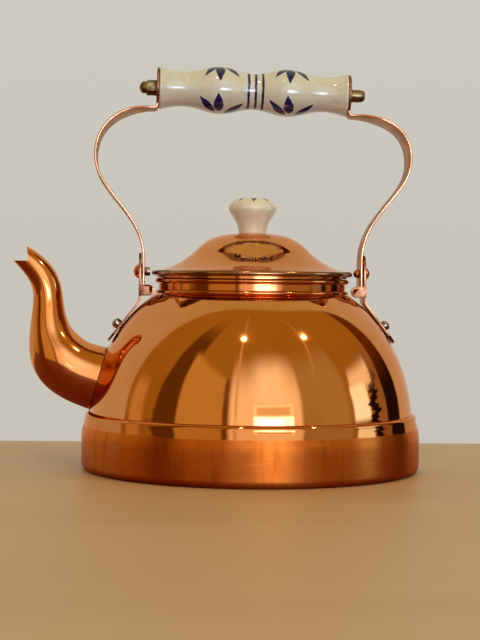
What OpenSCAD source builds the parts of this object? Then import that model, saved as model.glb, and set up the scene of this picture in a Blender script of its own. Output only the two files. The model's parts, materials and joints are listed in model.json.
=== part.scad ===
// Copper kettle: a domed body on a straight-sided base, a curved spout with a notched lip,
// a drop-in lid with a ceramic knob, and a swinging handle with a turned ceramic grip.
// Millimetres. The origin is the centre of the underside, +Z is up, the spout points to -X.

/* [Body] */
// Outside diameter of the base band
base_d = 200; // [199:0.5:202]
// Height of the crease between the base band and the dome
crease_z = 34; // [33:0.5:35]
// Outside radius of the dome
dome_r = 95.5; // [95.2:0.1:95.8]
// Height of the centre of the dome's sphere
dome_z = 27.5; // [27:0.1:28]
// Outside radius of the neck wall
neck_r = 55.4; // [55.2:0.1:55.8]
// Height of the centre of the rolled bead on the neck
neck_z = 111.3; // [110.8:0.1:111.4]
// Thickness of the copper sheet
sheet = 1; // [0.8:0.1:1.4]

/* [Spout] */
// Wall thickness of the spout
spout_wall = 1.1; // [0.9:0.1:1.3]
// Diameter of the strainer holes behind the spout
strainer_d = 6; // [4:0.5:7]
// Place of the inner corner of the lip's notch
notch_x = -131.5; // [-133:0.1:-131]
// Height of the level edge of the lip's notch
notch_z = 122; // [121:0.1:123.5]

/* [Lid] */
// Outside radius of the lid's rolled rim
lid_r = 59.5; // [59:0.1:59.6]
// Height of the flat crown that the knob stands on
crown_z = 139.5; // [138:0.1:141]
// Largest diameter of the knob
knob_d = 28.7; // [26:0.1:30]
// Height of the knob
knob_h = 21.2; // [20:0.1:23]

/* [Handle] */
// Height of the pivots of the handle
pivot_z = 116.5; // [116:0.1:117]
// Distance from the middle to the strap's outer face at the pivot
strap_x = 65; // [64.9:0.1:65.4]
// Thickness of the straps
strap_t = 1.5; // [1.2:0.1:1.6]
// Width of the straps at the pivots
strap_w = 18.8; // [17:0.1:19]
// Width of the straps at their widest
strap_top_w = 24; // [20:0.5:24]
// Height of the grip's axis with the handle upright
grip_z = 224.3; // [222:0.1:227]
// Length of the grip
grip_len = 112; // [111:0.5:113]
// Angle that the handle leans back by when it rests on its stops
lean = 3; // [0:0.5:4]
// Angle that the grip is out of level by, lower towards +X
grip_tilt = 1.4; // [0:0.1:2]
// Diameter of the pivot pins
pin_d = 4; // [3.5:0.1:4.2]

/* [Ears] */
// Thickness of the ears
ear_t = 1.4; // [1.2:0.1:1.5]
// Width of the ears
ear_w = 20; // [19:0.5:21]
// Slope of the ears' feet, measured from the level
ear_slope = 52; // [50:1:54]
// Diameter of the screws that hold the ears
screw_d = 3.9; // [3.5:0.1:4]

/* [Hidden] */

// Fineness of turned shapes and of small round ones
round_fn = 144;
small_fn = 48;
// Number of straight steps in a curve
curve_steps = 10;
// A cut runs past the face that it opens by this much
past = 1;
// Clearances: a part in its seat, a pin in its bore, and two parts that move past each other
seat_gap = 0.1;
pin_gap = 0.06;
move_gap = 0.3;

copper = [0.80, 0.42, 0.22];
dull_copper = [0.66, 0.42, 0.32];
bronze = [0.55, 0.40, 0.24];
aged_brass = [0.42, 0.34, 0.20];
aged_steel = [0.45, 0.44, 0.36];
tinned = [0.70, 0.69, 0.66];
ceramic = [0.90, 0.86, 0.77];

// Base band: the corner at the bottom, the upright side, and the shoulder
base_r = base_d / 2;
corner_r = 4.5;
// The bottom plate lies inside the band's turned-in edge with this much room
plate_gap = 0.15;
side_top_z = 19;
lip_r = 2.6;
// Neck and lid
bead_r = 1.6;
foot_bead_r = 1.5;
lid_sheet = 1;
rim_r = 1.65;
rim_z = neck_z + bead_r + 1.2 + rim_r;
skirt_depth = 10;
skirt_r = neck_r - sheet - 0.4;
crown_r = 9;
// Knob fastening
insert_d = 7;
insert_h = 11;
knob_screw_d = 4;
knob_washer_t = 1;
// Grip fastening and the strap's round end plate
rod_d = 6;
plate_r = 12.2;
grip_half = grip_len / 2;
// Pivot: the layers from the strap outwards
tail_len = 11;
washer_t = 0.4;
layer_gap = 0.2;
strap_in = strap_x - strap_t;
ear_in = strap_x + layer_gap + washer_t;
ear_out = ear_in + ear_t;
nut_face = strap_in - layer_gap;
nut_end = nut_face - 2.9;
spigot_d = 2.5;
spigot_len = 2;
// Stop tab, folded from the ear's front edge: the strap's tail comes to rest behind it
tab_low_z = pivot_z - 14.2;
tab_top_z = pivot_z - 7.6;
tab_back_y = -(strap_w / 2 * cos(lean) + tail_len * sin(lean)) - layer_gap;
tab_tip_x = 57.8;
tab_r = (tab_top_z - tab_low_z) / 2;
// Ear: its foot touches the dome where the screw goes through
ear_normal = 90 - ear_slope;
ear_top_z = pivot_z + 11;
foot_r = dome_r + seat_gap + ear_t / 2;
foot_run = 14;
// The screw is this far down the foot from where the foot touches the dome
screw_low = 3.2;
ear_mid = ear_in + ear_t / 2;
ear_bend_z = dome_z + (foot_r - ear_mid * cos(ear_normal)) / sin(ear_normal);

// A point on a cubic curve, and a run of points along it
function cubic(p, t) =
    p[0] * pow(1 - t, 3) + 3 * p[1] * t * pow(1 - t, 2) + 3 * p[2] * t * t * (1 - t) + p[3] * pow(t, 3);
function curve(p, n = curve_steps) = [for (i = [0 : n]) cubic(p, i / n)];
// Points along the smooth curve (a uniform cubic B-spline) that a row of guide points draws
function spline_point(g, i, t) =
    (g[i] * pow(1 - t, 3) + g[i + 1] * (3 * pow(t, 3) - 6 * t * t + 4)
    + g[i + 2] * (-3 * pow(t, 3) + 3 * t * t + 3 * t + 1) + g[i + 3] * pow(t, 3)) / 6;
function spline(g, n) = concat(
    [for (i = [0 : len(g) - 4], k = [0 : n - 1]) spline_point(g, i, k / n)],
    [spline_point(g, len(g) - 4, 1)]
);
function reversed(p) = [for (i = [len(p) - 1 : -1 : 0]) p[i]];
// Points on an arc about (cx, cy)
function arc(cx, cy, r, a, b, n = curve_steps) =
    [for (i = [0 : n]) [cx + r * cos(a + (b - a) * i / n), cy + r * sin(a + (b - a) * i / n)]];
// The unit normal of a path at point i, on its left side
function side_of(path, i) =
    let (d = path[min(i + 1, len(path) - 1)] - path[max(i - 1, 0)])
    [-d[1], d[0]] / norm(d);
function shifted(path, by) = [for (i = [0 : len(path) - 1]) path[i] + side_of(path, i) * by];
// The outline of a strip of one thickness that follows a path
function strip(path, t) = concat(shifted(path, t / 2), reversed(shifted(path, -t / 2)));

module turned(points) rotate_extrude($fn = round_fn) polygon(points);
module ring(major, z, minor)
    translate([0, 0, z]) rotate_extrude($fn = round_fn) translate([major, 0]) circle(minor, $fn = small_fn);
// A plane figure drawn in X and Z, made thick along Y between two places
module front_plate(y0, y1)
    translate([0, y1, 0]) rotate([90, 0, 0]) linear_extrude(y1 - y0) children();
// A plane figure drawn in Y and Z, made thick along X between two places
module side_plate(x0, x1)
    translate([x0, 0, 0]) rotate([90, 0, 90]) linear_extrude(x1 - x0) children();
// A turned piece whose axis is turned from Z onto X
module along_x() rotate([0, 90, 0]) children();
// The right-hand piece, mirrored for the left side
module on_side(side) mirror([side < 0 ? 1 : 0, 0, 0]) children();
module at_pivot() translate([0, 0, pivot_z]) along_x() children();
module leaning()
    translate([0, 0, pivot_z]) rotate([-lean, 0, 0]) translate([0, 0, -pivot_z]) children();
// Moves a piece drawn on the axis of the grip to its place on the leaning handle
module at_grip()
    leaning() translate([0, 0, grip_z]) rotate([0, grip_tilt, 0]) along_x() children();
// Moves a piece drawn on Z onto the axis of the screw that holds the right-hand ear
module at_ear_screw()
    translate([0, 0, dome_z]) rotate([0, 90 - ear_normal, 0]) translate([screw_low, 0, 0]) children();

// ---- body ----

band_profile = concat(
    arc(base_r - corner_r, corner_r, corner_r, -90, 0),
    curve([[base_r, side_top_z], [base_r, side_top_z + 5], [base_r - 1.7, crease_z - 6],
           [base_r - 2, crease_z - lip_r]]),
    arc(base_r - 2 - lip_r, crease_z - lip_r, lip_r, 0, 90)
);

module bottom_plate() color(tinned)
    cylinder(r = base_r - corner_r - plate_gap, h = sheet, $fn = round_fn);

module base_band() color(copper)
    difference() {
        turned(concat(band_profile, reversed(shifted(band_profile, sheet))));
        translate([0, 0, dome_z]) sphere(dome_r, $fn = round_fn);
    }

// The strainer holes: their middle, the slope of their axes and the radius of their ring
strainer_at = [-90.7, 0, 53];
strainer_pitch = 16;
strainer_ring = 9.5;

module strainer_holes()
    translate(strainer_at) rotate([0, strainer_pitch - 90, 0])
        for (i = [-1 : 5])
            rotate([0, 0, 60 * i]) translate([i < 0 ? 0 : strainer_ring, 0, 0])
                cylinder(d = strainer_d, h = 24, center = true, $fn = small_fn);

module dome_shell() color(copper)
    difference() {
        translate([0, 0, dome_z]) sphere(dome_r, $fn = round_fn);
        translate([0, 0, dome_z]) sphere(dome_r - sheet, $fn = round_fn);
        // open below, inside the base band
        translate([0, 0, crease_z - 4 - dome_r * 2]) cylinder(r = base_d, h = dome_r * 2);
        // the mouth under the neck
        cylinder(r = neck_r - sheet, h = dome_r * 2, $fn = round_fn);
        strainer_holes();
        for (side = [-1, 1])
            on_side(side) at_ear_screw()
                cylinder(d = screw_d + 2 * seat_gap, h = dome_r + past, $fn = small_fn);
    }

module neck_collar() color(copper)
    difference() {
        union() {
            translate([0, 0, neck_z - 12]) difference() {
                cylinder(r = neck_r, h = 12, $fn = round_fn);
                translate([0, 0, -past])
                    cylinder(r = neck_r - sheet, h = 12 + 2 * past, $fn = round_fn);
            }
            difference() {
                union() {
                    ring(neck_r + bead_r - sheet, neck_z, bead_r);
                    ring(neck_r + 0.3, neck_z - 6.7, foot_bead_r);
                }
                cylinder(r = neck_r - sheet / 2, h = neck_z * 2, $fn = round_fn);
            }
        }
        translate([0, 0, dome_z]) sphere(dome_r, $fn = round_fn);
    }

// ---- spout ----

// Each point that draws the spout's middle line is [x, z, radius]
spout_guide = [
    [-70, 48, 20.5], [-92, 53, 19], [-107.5, 58.5, 18], [-115, 67.5, 18], [-120, 81.5, 11.5],
    [-120, 98, 8.5], [-121.5, 112.5, 8.5], [-135.5, 126, 6.5], [-157, 139.5, 1]
];
// It starts inside the dome and ends past the notch
spout_path = concat([[-84, 51, 19.4]], spline(spout_guide, 4), [[-141, 129.4, 5.3]]);
spout_sides = 28;

function spout_section(path, i, thinner) =
    let (
        p = path[i],
        d = path[min(i + 1, len(path) - 1)] - path[max(i - 1, 0)],
        up = [-d[1], d[0]] / norm([d[0], d[1]]),
        r = p[2] - thinner
    )
    [for (k = [0 : spout_sides - 1])
        let (a = 360 * k / spout_sides)
        [p[0] + up[0] * r * cos(a), r * sin(a), p[1] + up[1] * r * cos(a)]];

// A closed tube through all the sections of the path
module swept(path, thinner) {
    last = len(path) - 1;
    n = spout_sides;
    points = [for (i = [0 : last]) each spout_section(path, i, thinner)];
    walls = [for (i = [0 : last - 1], k = [0 : n - 1])
        let (a = i * n + k, b = i * n + (k + 1) % n)
        each [[a, b, b + n], [a, b + n, a + n]]];
    first_cap = [for (k = [n - 1 : -1 : 0]) k];
    last_cap = [for (k = [0 : n - 1]) last * n + k];
    polyhedron(points, concat(walls, [first_cap], [last_cap]));
}

// The path run on a little at both ends, so that the bore opens them
function run_on(path, by) =
    let (
        last = len(path) - 1,
        a = path[0] - path[1],
        b = path[last] - path[last - 1]
    )
    concat([path[0] + a / norm(a) * by], path, [path[last] + b / norm(b) * by]);

module spout() color(copper)
    difference() {
        swept(spout_path, 0);
        swept(run_on(spout_path, past), spout_wall);
        translate([0, 0, dome_z]) sphere(dome_r, $fn = round_fn);
        // the notch between the two points of the lip
        front_plate(-20, 20) polygon([
            [notch_x, notch_z], [notch_x - 2, notch_z + 12], [notch_x - 40, notch_z + 12],
            [notch_x - 40, notch_z]
        ]);
    }

// ---- lid ----

lid_profile = concat(
    [[lid_r - rim_r, rim_z + rim_r]],
    curve([[lid_r - 5, rim_z + rim_r + 0.25], [49, 119.3], [43.5, 120.9], [35.2, 127.8]]),
    curve([[34.2, 128.8], [29.2, 133.7], [25, 137.6], [14.5, 139.2]]),
    [[crown_r, crown_z], [0, crown_z]]
);

module lid_shell() color(copper)
    difference() {
        turned(concat(lid_profile, [[0, crown_z - lid_sheet], [crown_r, crown_z - lid_sheet]],
            [for (p = reversed(shifted(lid_profile, lid_sheet))) if (p[0] > crown_r) p]));
        ring(lid_r - rim_r, rim_z, rim_r);
        cylinder(d = knob_screw_d + 2 * seat_gap, h = crown_z * 2, $fn = small_fn);
    }

module lid_rim() color(bronze)
    ring(lid_r - rim_r, rim_z, rim_r);

module lid_skirt() color(copper)
    difference() {
        union() {
            translate([0, 0, neck_z + bead_r + move_gap - skirt_depth])
                cylinder(r = skirt_r, h = skirt_depth + 8, $fn = round_fn);
            // the flange that carries the lid on the neck's bead
            translate([0, 0, neck_z + bead_r + move_gap])
                cylinder(r = neck_r + 1, h = lid_sheet, $fn = round_fn);
        }
        translate([0, 0, neck_z - skirt_depth - past])
            cylinder(r = skirt_r - lid_sheet, h = 40, $fn = round_fn);
        // everything above the underside of the lid
        turned(concat(shifted(lid_profile, lid_sheet + 0.02), [[0, 200], [lid_r + 10, 200]]));
    }

knob_profile = concat(
    [[0, 0], [7.6, 0], [8.1, 0.5]],
    curve([[8.2, 1], [9.2, 7.5], [12.6, 10.2], [knob_d / 2 - 0.2, 13.6]]),
    curve([[knob_d / 2, 14.6], [knob_d / 2 + 0.1, 17.2], [12.2, 19.6], [8.6, knob_h - 0.4]]),
    [[5, knob_h - 0.1], [0, knob_h]]
);

module lid_knob() color(ceramic)
    translate([0, 0, crown_z]) difference() {
        turned(knob_profile);
        translate([0, 0, -past])
            cylinder(d = insert_d + 2 * seat_gap, h = insert_h + past + 0.5, $fn = small_fn);
    }

module knob_insert() color(aged_brass)
    translate([0, 0, crown_z]) difference() {
        cylinder(d = insert_d, h = insert_h, $fn = small_fn);
        translate([0, 0, -past])
            cylinder(d = knob_screw_d + 2 * seat_gap, h = insert_h + 2 * past, $fn = small_fn);
    }

module knob_screw() color(aged_brass) {
    head_z = crown_z - lid_sheet - knob_washer_t;
    head_h = 2.6;
    difference() {
        union() {
            translate([0, 0, head_z]) cylinder(d = knob_screw_d, h = 12, $fn = small_fn);
            translate([0, 0, head_z - head_h]) intersection() {
                cylinder(d = 7.6, h = head_h, $fn = small_fn);
                translate([0, 0, 4.2]) sphere(4.2, $fn = small_fn);
            }
        }
        // screwdriver slot
        translate([-5, -0.5, head_z - head_h - past]) cube([10, 1, 1 + past]);
    }
}

module knob_washer() color(aged_brass)
    translate([0, 0, crown_z - lid_sheet - knob_washer_t]) difference() {
        cylinder(d = 12, h = knob_washer_t, $fn = small_fn);
        translate([0, 0, -past])
            cylinder(d = knob_screw_d + 2 * seat_gap, h = knob_washer_t + 2 * past, $fn = small_fn);
    }

// ---- handle ----

// Radii of the grip at its middle, at a bulge, at a waist and at an end
grip_mid_r = 10.6;
grip_bulge_r = 14;
grip_waist_r = 10.3;
grip_end_r = 13.1;
bulge_x = 20;
waist_x = 41.5;

function eased(a, b, t) = a + (b - a) * (1 - cos(180 * t)) / 2;
function grip_r(x) =
    x < bulge_x ? eased(grip_mid_r, grip_bulge_r, x / bulge_x)
    : x < waist_x ? eased(grip_bulge_r, grip_waist_r, (x - bulge_x) / (waist_x - bulge_x))
    : grip_waist_r + (grip_end_r - grip_waist_r) * pow((x - waist_x) / (grip_half - waist_x), 2);

module handle_grip() color(ceramic)
    at_grip() difference() {
        turned(concat(
            [[0, -grip_half], [grip_end_r - 1.2, -grip_half]],
            [for (x = [-grip_half + 1 : 2.5 : grip_half - 1]) [grip_r(abs(x)), x]],
            [[grip_end_r - 1.2, grip_half], [0, grip_half]]
        ));
        cylinder(d = rod_d + 0.6, h = grip_len * 2, center = true, $fn = small_fn);
    }

plate_in = grip_half + seat_gap;
plate_out = plate_in + strap_t;
// Cap nuts: a hexagon with a domed end on the left, a plain acorn on the right
nut_len = 10.2;
hex_r = 4.7;
hex_len = 6;
nut_dome_d = 7.2;
nut_dome_r = 4.2;
acorn_r = 3.8;

module grip_rod() color(aged_steel)
    at_grip() cylinder(d = rod_d, h = 2 * (plate_out + 7), center = true, $fn = small_fn);

// A blind hole that the end of the rod fills
module rod_seat() translate([0, 0, -past])
    cylinder(d = rod_d + 2 * seat_gap, h = 7.3 + past, $fn = small_fn);

module cap_nut_left() color(aged_brass)
    at_grip() mirror([0, 0, 1]) translate([0, 0, plate_out]) difference() {
        union() {
            cylinder(r = hex_r, h = hex_len, $fn = 6);
            cylinder(d = nut_dome_d, h = nut_len - nut_dome_r / 2, $fn = small_fn);
            translate([0, 0, nut_len - nut_dome_r]) intersection() {
                sphere(nut_dome_r, $fn = small_fn);
                cylinder(d = nut_dome_d, h = 10, $fn = small_fn);
            }
        }
        rod_seat();
    }

module cap_nut_right() color(aged_brass)
    at_grip() translate([0, 0, plate_out]) difference() {
        rotate_extrude($fn = small_fn) polygon(concat(
            [[0, 0], [acorn_r, 0]],
            curve([[acorn_r, 5], [acorn_r - 0.1, 7.6], [3.2, 8.6], [2, 8.9]]),
            [[0, 9]]
        ));
        rod_seat();
    }

// The strap's middle line in the upright handle: out from the pivot, up and in to the grip.
// Its top follows the tilt of the grip, so each side has its own.
function tilted(p, side) =
    let (a = -grip_tilt * side, q = p - [0, grip_z])
    [q[0] * cos(a) - q[1] * sin(a), grip_z + q[0] * sin(a) + q[1] * cos(a)];

strap_mid = strap_x - strap_t / 2;
strap_wide = [93.1, 184.5];
top_z = 211.8;
plate_mid = plate_in + strap_t / 2;
bend_r = 2.2;

function strap_path(side) = concat(
    [[strap_mid, pivot_z - tail_len], [strap_mid, 122]],
    [for (i = [1 : 8]) cubic([[strap_mid, 122], [64.2, 136], [69.4, 144.8], [78.8, 156.4]], i / 8)],
    [for (i = [1 : 8]) cubic([[78.8, 156.4], [87.2, 166.9], [93.1, 173], strap_wide], i / 8)],
    [for (i = [1 : 12]) cubic([strap_wide, [93.1, 202.6], tilted([78.6, top_z], side),
        tilted([plate_mid + bend_r, top_z], side)], i / 12)],
    [for (i = [1 : 4]) tilted([plate_mid + bend_r * (1 - sin(22.5 * i)),
        top_z + bend_r * (1 - cos(22.5 * i))], side)],
    [tilted([plate_mid, grip_z - 4], side)]
);

// The strap's width: straight at the pivot, wider above, narrow where it joins the end plate
module strap_width() {
    foot_z = pivot_z - tail_len;
    half = [
        [strap_w / 2 - 1.5, foot_z], [strap_w / 2, foot_z + 1.5], [strap_w / 2, 126],
        [strap_top_w / 2, 168], [strap_top_w / 2, 206]
    ];
    side_plate(0, 120) polygon(concat(half, [for (p = reversed(half)) [-p[0], p[1]]]));
    translate([0, 0, 200]) linear_extrude(grip_z - 200) polygon([
        [120, -strap_top_w / 2], [120, strap_top_w / 2], [76, strap_top_w / 2],
        [60, 7], [0, 7], [0, -7], [60, -7], [76, -strap_top_w / 2]
    ]);
}

module strap(side) color(dull_copper)
    leaning() on_side(side) difference() {
        union() {
            intersection() {
                front_plate(-20, 20) polygon(strip(strap_path(side), strap_t));
                strap_width();
            }
            translate([0, 0, grip_z]) rotate([0, grip_tilt * side, 0]) along_x()
                translate([0, 0, plate_in]) cylinder(r = plate_r, h = strap_t, $fn = round_fn);
        }
        at_pivot() cylinder(d = pin_d + 2 * pin_gap, h = 80, $fn = small_fn);
        translate([0, 0, grip_z]) rotate([0, grip_tilt * side, 0]) along_x()
            cylinder(d = rod_d + 2 * seat_gap, h = 80, $fn = small_fn);
    }

module strap_left() strap(-1);
module strap_right() strap(1);

// ---- ears and pivots ----

ear_foot_dir = [sin(ear_normal), -cos(ear_normal)];
ear_corner = [ear_mid, ear_bend_z];
ear_screw_at = [foot_r * cos(ear_normal), dome_z + foot_r * sin(ear_normal)];
ear_path = concat(
    [[ear_mid, ear_top_z]],
    curve([ear_corner + [0, 3], ear_corner + [0, 1], ear_corner + ear_foot_dir,
           ear_corner + 3 * ear_foot_dir], 6),
    [ear_screw_at + foot_run * ear_foot_dir]
);

module ear(side) color(dull_copper)
    on_side(side) difference() {
        union() {
            intersection() {
                front_plate(-20, 20) polygon(strip(ear_path, ear_t));
                side_plate(0, 120) union() {
                    translate([0, ear_top_z - ear_w / 2]) circle(ear_w / 2, $fn = round_fn);
                    polygon([
                        [-ear_w / 2, ear_top_z - ear_w / 2], [ear_w / 2, ear_top_z - ear_w / 2],
                        [ear_w / 2, 80], [ear_w / 2 - 3, 76.5], [ear_w / 2 - 3, 60],
                        [3 - ear_w / 2, 60], [3 - ear_w / 2, 76.5], [-ear_w / 2, 80]
                    ]);
                }
            }
            // the stop tab and the tongue that it is folded from
            front_plate(tab_back_y - ear_t, tab_back_y) {
                translate([tab_tip_x + tab_r, tab_low_z + tab_r]) circle(tab_r, $fn = small_fn);
                translate([tab_tip_x + tab_r, tab_low_z])
                    square([ear_out - tab_tip_x - tab_r, 2 * tab_r]);
            }
            side_plate(ear_in, ear_out) translate([tab_back_y - ear_t / 2, tab_low_z])
                square([5, 2 * tab_r]);
        }
        at_pivot() cylinder(d = pin_d + 2 * pin_gap, h = 80, $fn = small_fn);
        at_ear_screw() cylinder(d = screw_d + 2 * seat_gap, h = 120, $fn = small_fn);
    }

module ear_left() ear(-1);
module ear_right() ear(1);

head_r = foot_r + ear_t / 2;
screw_head_d = 6;
screw_head_h = 2.8;
screw_dome_r = 3.8;
washer_top = dome_r - sheet - 0.45;
ear_washer_t = 0.8;
ear_nut_h = 3;

module ear_screw(side) color(aged_steel)
    on_side(side) at_ear_screw() {
        translate([0, 0, washer_top - ear_washer_t - ear_nut_h - 1.5])
            cylinder(d = screw_d, h = head_r - washer_top + ear_washer_t + ear_nut_h + 1.5, $fn = small_fn);
        translate([0, 0, head_r]) {
            cylinder(d = screw_head_d, h = screw_head_h, $fn = small_fn);
            intersection() {
                translate([0, 0, screw_head_h - sqrt(pow(screw_dome_r, 2) - pow(screw_head_d / 2, 2))])
                    sphere(screw_dome_r, $fn = small_fn);
                translate([0, 0, screw_head_h / 2]) cylinder(d = screw_head_d, h = 5, $fn = small_fn);
            }
        }
    }

module ear_screw_left() ear_screw(-1);
module ear_screw_right() ear_screw(1);

module ear_washer(side) color(tinned)
    on_side(side) at_ear_screw() translate([0, 0, washer_top - ear_washer_t]) difference() {
        cylinder(d = 10, h = ear_washer_t, $fn = small_fn);
        translate([0, 0, -past])
            cylinder(d = screw_d + 2 * seat_gap, h = ear_washer_t + 2 * past, $fn = small_fn);
    }

module ear_washer_left() ear_washer(-1);
module ear_washer_right() ear_washer(1);

module ear_nut(side) color(aged_steel)
    on_side(side) at_ear_screw() translate([0, 0, washer_top - ear_washer_t - ear_nut_h]) difference() {
        cylinder(d = 8.1, h = ear_nut_h, $fn = 6);
        translate([0, 0, -past])
            cylinder(d = screw_d + 2 * seat_gap, h = ear_nut_h + 2 * past, $fn = small_fn);
    }

module ear_nut_left() ear_nut(-1);
module ear_nut_right() ear_nut(1);

// A shouldered pin: domed head outside the ear, shank through ear and strap, spigot in its nut
module pivot_pin(side) color(copper)
    on_side(side) at_pivot() {
        translate([0, 0, ear_out]) intersection() {
            translate([0, 0, -1.2]) sphere(4.4, $fn = round_fn);
            cylinder(d = 8.3, h = 5, $fn = round_fn);
        }
        translate([0, 0, nut_face]) cylinder(d = pin_d, h = ear_out - nut_face, $fn = small_fn);
        translate([0, 0, nut_face - spigot_len]) cylinder(d = spigot_d, h = spigot_len, $fn = small_fn);
    }

module pivot_pin_left() pivot_pin(-1);
module pivot_pin_right() pivot_pin(1);

module pivot_washer(side) color(dull_copper)
    on_side(side) at_pivot() translate([0, 0, ear_in - washer_t]) difference() {
        cylinder(d = 9, h = washer_t, $fn = small_fn);
        translate([0, 0, -past]) cylinder(d = pin_d + 2 * seat_gap, h = 5, $fn = small_fn);
    }

module pivot_washer_left() pivot_washer(-1);
module pivot_washer_right() pivot_washer(1);

module spigot_seat() translate([0, 0, nut_face - spigot_len - 0.1])
    cylinder(d = spigot_d + seat_gap, h = spigot_len + past, $fn = small_fn);

module pivot_nut_left() color(aged_steel)
    on_side(-1) at_pivot() difference() {
        translate([0, 0, nut_end]) cylinder(d = 5.3, h = nut_face - nut_end, $fn = small_fn);
        spigot_seat();
    }

module pivot_nut_right() color(copper)
    at_pivot() difference() {
        intersection() {
            translate([0, 0, nut_end + 2.65]) sphere(2.65, $fn = round_fn);
            translate([0, 0, nut_end - past]) cylinder(r = 5, h = nut_face - nut_end + past);
        }
        spigot_seat();
    }

bottom_plate();
base_band();
dome_shell();
neck_collar();
spout();
lid_shell();
lid_rim();
lid_skirt();
lid_knob();
knob_insert();
knob_screw();
knob_washer();
handle_grip();
grip_rod();
cap_nut_left();
cap_nut_right();
strap_left();
strap_right();
ear_left();
ear_right();
ear_screw_left();
ear_screw_right();
ear_washer_left();
ear_washer_right();
ear_nut_left();
ear_nut_right();
pivot_pin_left();
pivot_pin_right();
pivot_washer_left();
pivot_washer_right();
pivot_nut_left();
pivot_nut_right();
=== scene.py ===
"""The looks of the copper kettle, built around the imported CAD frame.

Shapes are worked out in millimetres in the frame's own axes: +Z up, the spout points to -X, and
the handle's pivots lie along X. A mesh is turned into metres when it becomes a piece.
"""
import json
import math

import bmesh
import bpy
from mathutils import Matrix, Vector


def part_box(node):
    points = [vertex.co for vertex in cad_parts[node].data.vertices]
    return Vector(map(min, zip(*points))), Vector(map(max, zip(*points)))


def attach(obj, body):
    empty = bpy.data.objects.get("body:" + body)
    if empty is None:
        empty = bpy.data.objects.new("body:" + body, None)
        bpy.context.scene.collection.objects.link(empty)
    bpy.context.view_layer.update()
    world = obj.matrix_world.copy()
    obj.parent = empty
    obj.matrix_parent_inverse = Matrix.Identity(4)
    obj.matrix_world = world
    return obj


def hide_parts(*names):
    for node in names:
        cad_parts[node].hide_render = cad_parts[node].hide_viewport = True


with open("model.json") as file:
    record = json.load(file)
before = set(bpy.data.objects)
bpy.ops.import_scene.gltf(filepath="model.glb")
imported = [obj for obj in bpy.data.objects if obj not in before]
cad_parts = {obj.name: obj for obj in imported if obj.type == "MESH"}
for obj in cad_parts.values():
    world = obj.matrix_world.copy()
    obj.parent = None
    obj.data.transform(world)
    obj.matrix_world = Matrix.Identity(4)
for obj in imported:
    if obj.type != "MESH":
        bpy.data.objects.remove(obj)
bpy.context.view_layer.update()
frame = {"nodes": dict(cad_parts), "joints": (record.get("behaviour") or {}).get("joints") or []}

MM = 0.001
FULL_TURN = 2 * math.pi
LARGE_SIDES = 256
MIDDLE_SIDES = 128
SMALL_SIDES = 64
SHARP_ANGLE = math.radians(35)
FLAT_ANGLE = math.radians(0.5)
BEVEL_STEPS = 3
# Two shapes that meet inside the same sheet overlap by this much
LAP = 0.3
# Points closer than this are the same point; the second is for meshes that a cut or the CAD made
SAME_POINT = 1e-4
SLIVER = 0.002


# ---- sizes: read from the frame's boxes, or the same as in the CAD model ----

def box_mm(node):
    low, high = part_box(node)
    return low / MM, high / MM


sheet = 1.0
dome_r, dome_z = 95.5, 27.5
base_r = box_mm("base_band")[1].x
crease_z = box_mm("base_band")[1].z
corner_r = 4.5
side_top_z = 19.0
side_lean = 2.0
lip_r = 2.6

bead_r = 1.6
neck_r = box_mm("neck_collar")[1].x - 2 * bead_r + sheet
neck_z = box_mm("neck_collar")[1].z - bead_r
neck_inner_r = neck_r - sheet
foot_bead_r = 1.5

rim_low, rim_high = box_mm("lid_rim")
lid_r = rim_high.x
rim_r = (rim_high.z - rim_low.z) / 2
rim_z = rim_low.z + rim_r
crown_z = box_mm("lid_shell")[1].z
skirt_low_z = box_mm("lid_skirt")[0].z
skirt_r = neck_inner_r - 0.4
flange_r = neck_r + 1
crown_flat_r = 9

knob_r = box_mm("lid_knob")[1].x
knob_h = box_mm("lid_knob")[1].z - crown_z

grip_box = box_mm("handle_grip")
grip_centre = (grip_box[0] + grip_box[1]) / 2
grip_half = 56.0
lean = math.radians(3)
grip_tilt = math.radians(1.4)
swing = next(joint for joint in frame["joints"] if joint["name"] == "handle_swing")
pivot_z = swing["pos_m"][2] / MM
grip_z = pivot_z + (grip_centre.z - pivot_z) / math.cos(lean)
rod_r = 3.0
pin_r = 2.0


# ---- outlines ----

def cubic(points, t):
    """The point a share t of the way along a Bezier curve."""
    a, b, c, d = points
    s = 1 - t
    return tuple(
        a[i] * s**3 + 3 * b[i] * t * s * s + 3 * c[i] * t * t * s + d[i] * t**3 for i in range(len(a))
    )


def curve(*points, steps=24):
    """Points along a Bezier curve."""
    return [cubic(points, i / steps) for i in range(steps + 1)]


def arc(centre_x, centre_y, radius, start, end, steps=16):
    """Points on an arc between two angles in degrees."""
    angles = [math.radians(start + (end - start) * i / steps) for i in range(steps + 1)]
    return [(centre_x + radius * math.cos(a), centre_y + radius * math.sin(a)) for a in angles]


def without_doubles(path):
    """The path without the points that repeat the one before."""
    kept = [path[0]]
    for point in path[1:]:
        if math.dist(point, kept[-1]) > SAME_POINT:
            kept.append(point)
    return kept


def shifted(path, by):
    """The path moved sideways by a distance, to its left."""
    path = without_doubles(path)
    moved = []
    for i, (x, y) in enumerate(path):
        ahead = path[min(i + 1, len(path) - 1)]
        behind = path[max(i - 1, 0)]
        dx, dy = ahead[0] - behind[0], ahead[1] - behind[1]
        length = math.hypot(dx, dy)
        moved.append((x - dy / length * by, y + dx / length * by))
    return moved


def spline(guide, steps):
    """Points along the uniform cubic B-spline that a row of guide points draws."""
    points = []
    for a, b, c, d in zip(guide, guide[1:], guide[2:], guide[3:]):
        for k in range(steps):
            t = k / steps
            weights = ((1 - t)**3, 3 * t**3 - 6 * t * t + 4, -3 * t**3 + 3 * t * t + 3 * t + 1, t**3)
            points.append(tuple(
                sum(w * p[i] for w, p in zip(weights, (a, b, c, d))) / 6 for i in range(len(a))
            ))
    return points


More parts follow.
